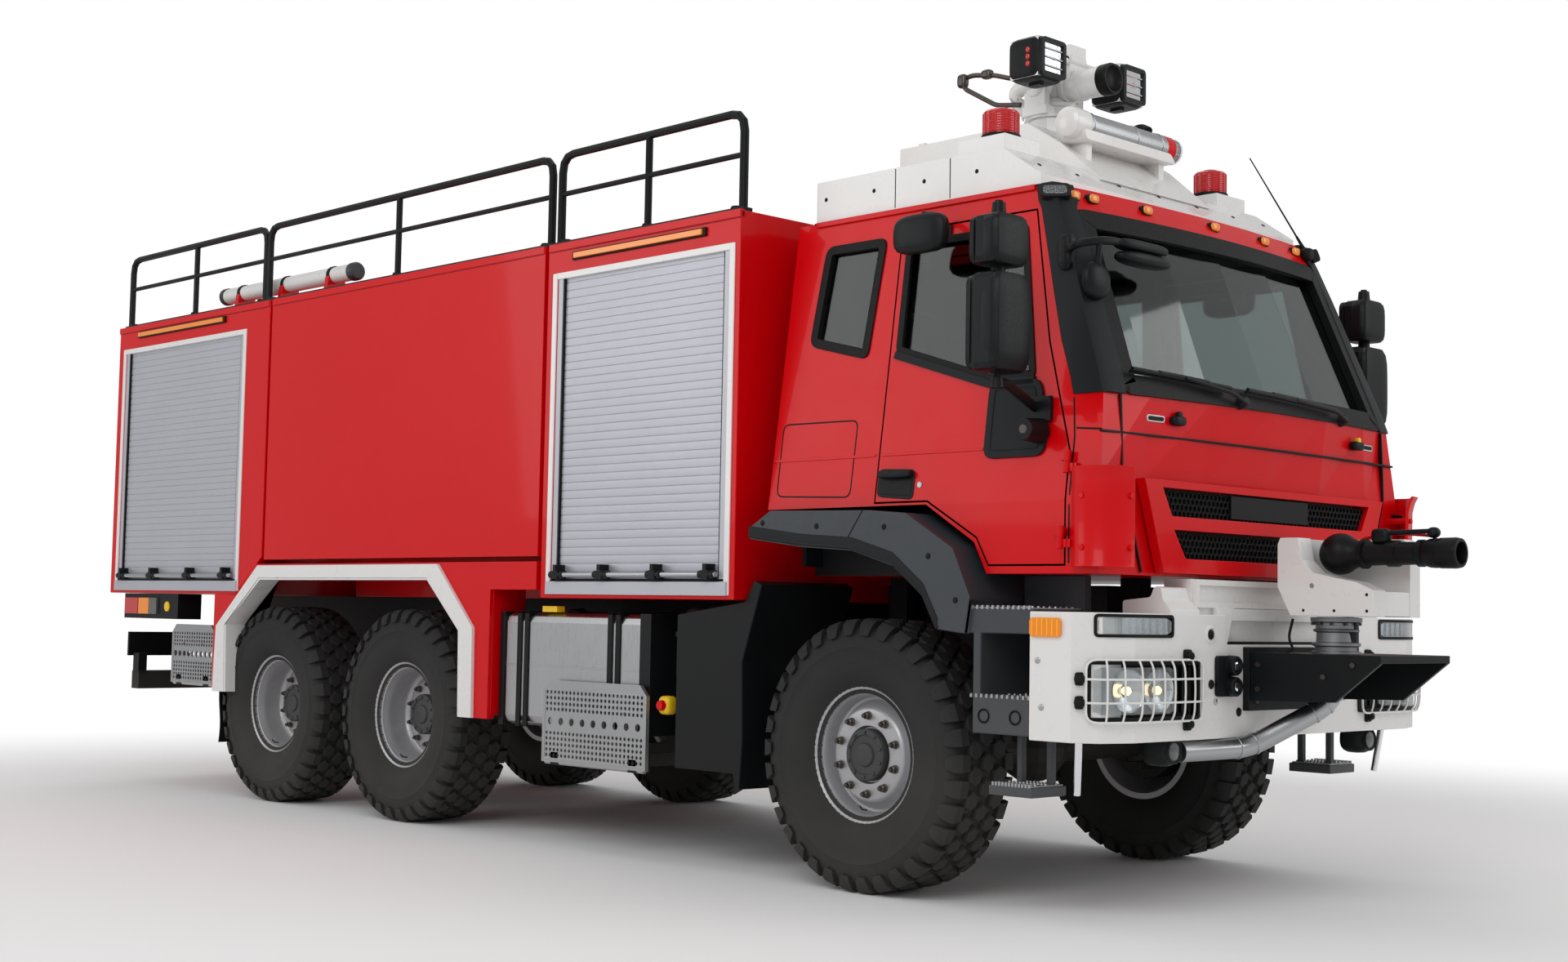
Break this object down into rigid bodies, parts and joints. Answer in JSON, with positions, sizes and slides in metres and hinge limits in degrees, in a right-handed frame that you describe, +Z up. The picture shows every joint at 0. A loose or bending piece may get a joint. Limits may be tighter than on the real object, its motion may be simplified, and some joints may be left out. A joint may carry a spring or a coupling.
{
  "type": "airport fire truck",
  "caption": "Six-wheel-drive airport crash tender with a short cab, roof monitor, bumper turret, roller-shutter lockers, roof rails and folding steps.",
  "frame": {"origin": "on the ground under the middle of the truck's overall box", "axes": "+X forward, +Y to the truck's left, +Z up"},
  "size_m": [9.159, 3, 3.87],
  "materials": {
    "red_paint": "glossy signal red",
    "white_paint": "satin white",
    "dark_steel": "dark grey chassis paint",
    "black_paint": "black powder coat",
    "grey_plastic": "grained dark grey",
    "aluminium": "anodised",
    "tank_metal": "brushed",
    "glazing": "clear, lightly tinted",
    "seat_cloth": "woven dark cloth",
    "tyre_rubber": "matt black",
    "silver_paint": "silver wheel paint"
  },
  "bodies": {
    "truck": {"chassis_frame": "dark_steel", "powertrain": "dark_steel", "axle_front": "dark_steel", "axle_middle": "dark_steel", "axle_rear": "dark_steel", "fuel_tank": "tank_metal", "side_box_left": "grey_plastic", "side_box_right": "grey_plastic", "body_rear": "red_paint", "body_tank": "red_paint", "body_front": "red_paint", "shutter_rear_right": "aluminium", "shutter_rear_left": "aluminium", "shutter_front_right": "aluminium", "shutter_front_left": "aluminium", "shutter_tail": "aluminium", "roof_rails_right": "black_paint", "roof_rails_left": "black_paint", "wheel_arch_right": "red_paint", "wheel_arch_left": "red_paint", "rear_ladder": "aluminium", "cab_shell": "red_paint", "windscreen": "glazing", "seat_right": "seat_cloth", "seat_left": "seat_cloth", "dashboard": "grey_plastic", "front_panel": "red_paint", "fender_right": "grey_plastic", "fender_left": "grey_plastic", "bumper": "white_paint", "turret_mount": "black_paint", "roof_fairing": "white_paint"},
    "knuckle_right": {"knuckle_right": "dark_steel"},
    "knuckle_left": {"knuckle_left": "dark_steel"},
    "wheel_front_right": {"tyre_front_right": "tyre_rubber", "rim_front_right": "silver_paint"},
    "wheel_front_left": {"tyre_front_left": "tyre_rubber", "rim_front_left": "silver_paint"},
    "wheel_middle_right": {"tyre_middle_right": "tyre_rubber", "rim_middle_right": "silver_paint"},
    "wheel_middle_left": {"tyre_middle_left": "tyre_rubber", "rim_middle_left": "silver_paint"},
    "wheel_rear_right": {"tyre_rear_right": "tyre_rubber", "rim_rear_right": "silver_paint"},
    "wheel_rear_left": {"tyre_rear_left": "tyre_rubber", "rim_rear_left": "silver_paint"},
    "door_right": {"door_right": "red_paint", "door_glass_right": "glazing", "mirrors_right": "grey_plastic"},
    "door_left": {"door_left": "red_paint", "door_glass_left": "glazing", "mirrors_left": "grey_plastic"},
    "step_front_right": {"step_front_right": "aluminium"},
    "step_front_left": {"step_front_left": "aluminium"},
    "step_rear_right": {"step_rear_right": "aluminium"},
    "step_rear_left": {"step_rear_left": "aluminium"},
    "turret_head": {"turret_head": "white_paint"},
    "turret_nozzle": {"turret_nozzle": "black_paint"},
    "monitor_head": {"monitor_head": "white_paint"},
    "monitor_barrel": {"monitor_barrel": "white_paint"}
  },
  "joints": [
    {"name": "steer_right", "type": "hinge", "parent": "truck", "child": "knuckle_right", "pos_m": [2.43, -0.84, 0.585], "axis": [0, 0, 1], "range_deg": [-32, 32]},
    {"name": "steer_left", "type": "hinge", "parent": "truck", "child": "knuckle_left", "pos_m": [2.43, 0.84, 0.585], "axis": [0, 0, 1], "range_deg": [-32, 32]},
    {"name": "spin_front_right", "type": "hinge", "parent": "knuckle_right", "child": "wheel_front_right", "pos_m": [2.43, -1.005, 0.585], "axis": [0, 1, 0], "continuous": true},
    {"name": "spin_front_left", "type": "hinge", "parent": "knuckle_left", "child": "wheel_front_left", "pos_m": [2.43, 1.005, 0.585], "axis": [0, 1, 0], "continuous": true},
    {"name": "spin_middle_right", "type": "hinge", "parent": "truck", "child": "wheel_middle_right", "pos_m": [-1.07, -1.005, 0.585], "axis": [0, 1, 0], "continuous": true},
    {"name": "spin_middle_left", "type": "hinge", "parent": "truck", "child": "wheel_middle_left", "pos_m": [-1.07, 1.005, 0.585], "axis": [0, 1, 0], "continuous": true},
    {"name": "spin_rear_right", "type": "hinge", "parent": "truck", "child": "wheel_rear_right", "pos_m": [-2.45, -1.005, 0.585], "axis": [0, 1, 0], "continuous": true},
    {"name": "spin_rear_left", "type": "hinge", "parent": "truck", "child": "wheel_rear_left", "pos_m": [-2.45, 1.005, 0.585], "axis": [0, 1, 0], "continuous": true},
    {"name": "door_right_swing", "type": "hinge", "parent": "truck", "child": "door_right", "pos_m": [3.516, -1.172, 1.65], "axis": [0, 0.1297, 0.9916], "range_deg": [0, 70]},
    {"name": "door_left_swing", "type": "hinge", "parent": "truck", "child": "door_left", "pos_m": [3.516, 1.172, 1.65], "axis": [0, 0.1297, -0.9916], "range_deg": [0, 70]},
    {"name": "step_front_right_fold", "type": "hinge", "parent": "truck", "child": "step_front_right", "pos_m": [0.7, -1.21, 0.425], "axis": [1, 0, 0], "range_deg": [0, 90]},
    {"name": "step_front_left_fold", "type": "hinge", "parent": "truck", "child": "step_front_left", "pos_m": [0.7, 1.21, 0.425], "axis": [-1, 0, 0], "range_deg": [0, 90]},
    {"name": "step_rear_right_fold", "type": "hinge", "parent": "truck", "child": "step_rear_right", "pos_m": [-3.335, -1.21, 0.675], "axis": [1, 0, 0], "range_deg": [0, 90]},
    {"name": "step_rear_left_fold", "type": "hinge", "parent": "truck", "child": "step_rear_left", "pos_m": [-3.335, 1.21, 0.675], "axis": [-1, 0, 0], "range_deg": [0, 90]},
    {"name": "turret_swivel", "type": "hinge", "parent": "truck", "child": "turret_head", "pos_m": [4.03, 0, 1.2103], "axis": [0, 0, 1], "range_deg": [-90, 90]},
    {"name": "turret_tilt", "type": "hinge", "parent": "turret_head", "child": "turret_nozzle", "pos_m": [4.05, 0, 1.47], "axis": [0, -1, 0], "range_deg": [-15, 70]},
    {"name": "monitor_swivel", "type": "hinge", "parent": "truck", "child": "monitor_head", "pos_m": [2.53, 0, 3.5303], "axis": [0, 0, 1], "range_deg": [-135, 135]},
    {"name": "monitor_tilt", "type": "hinge", "parent": "monitor_head", "child": "monitor_barrel", "pos_m": [2.53, 0, 3.68], "axis": [0, -1, 0], "range_deg": [-15, 75]}
  ],
  "couplings": [
    {"joint": "steer_left", "follows": "steer_right", "ratio": 1}
  ]
}
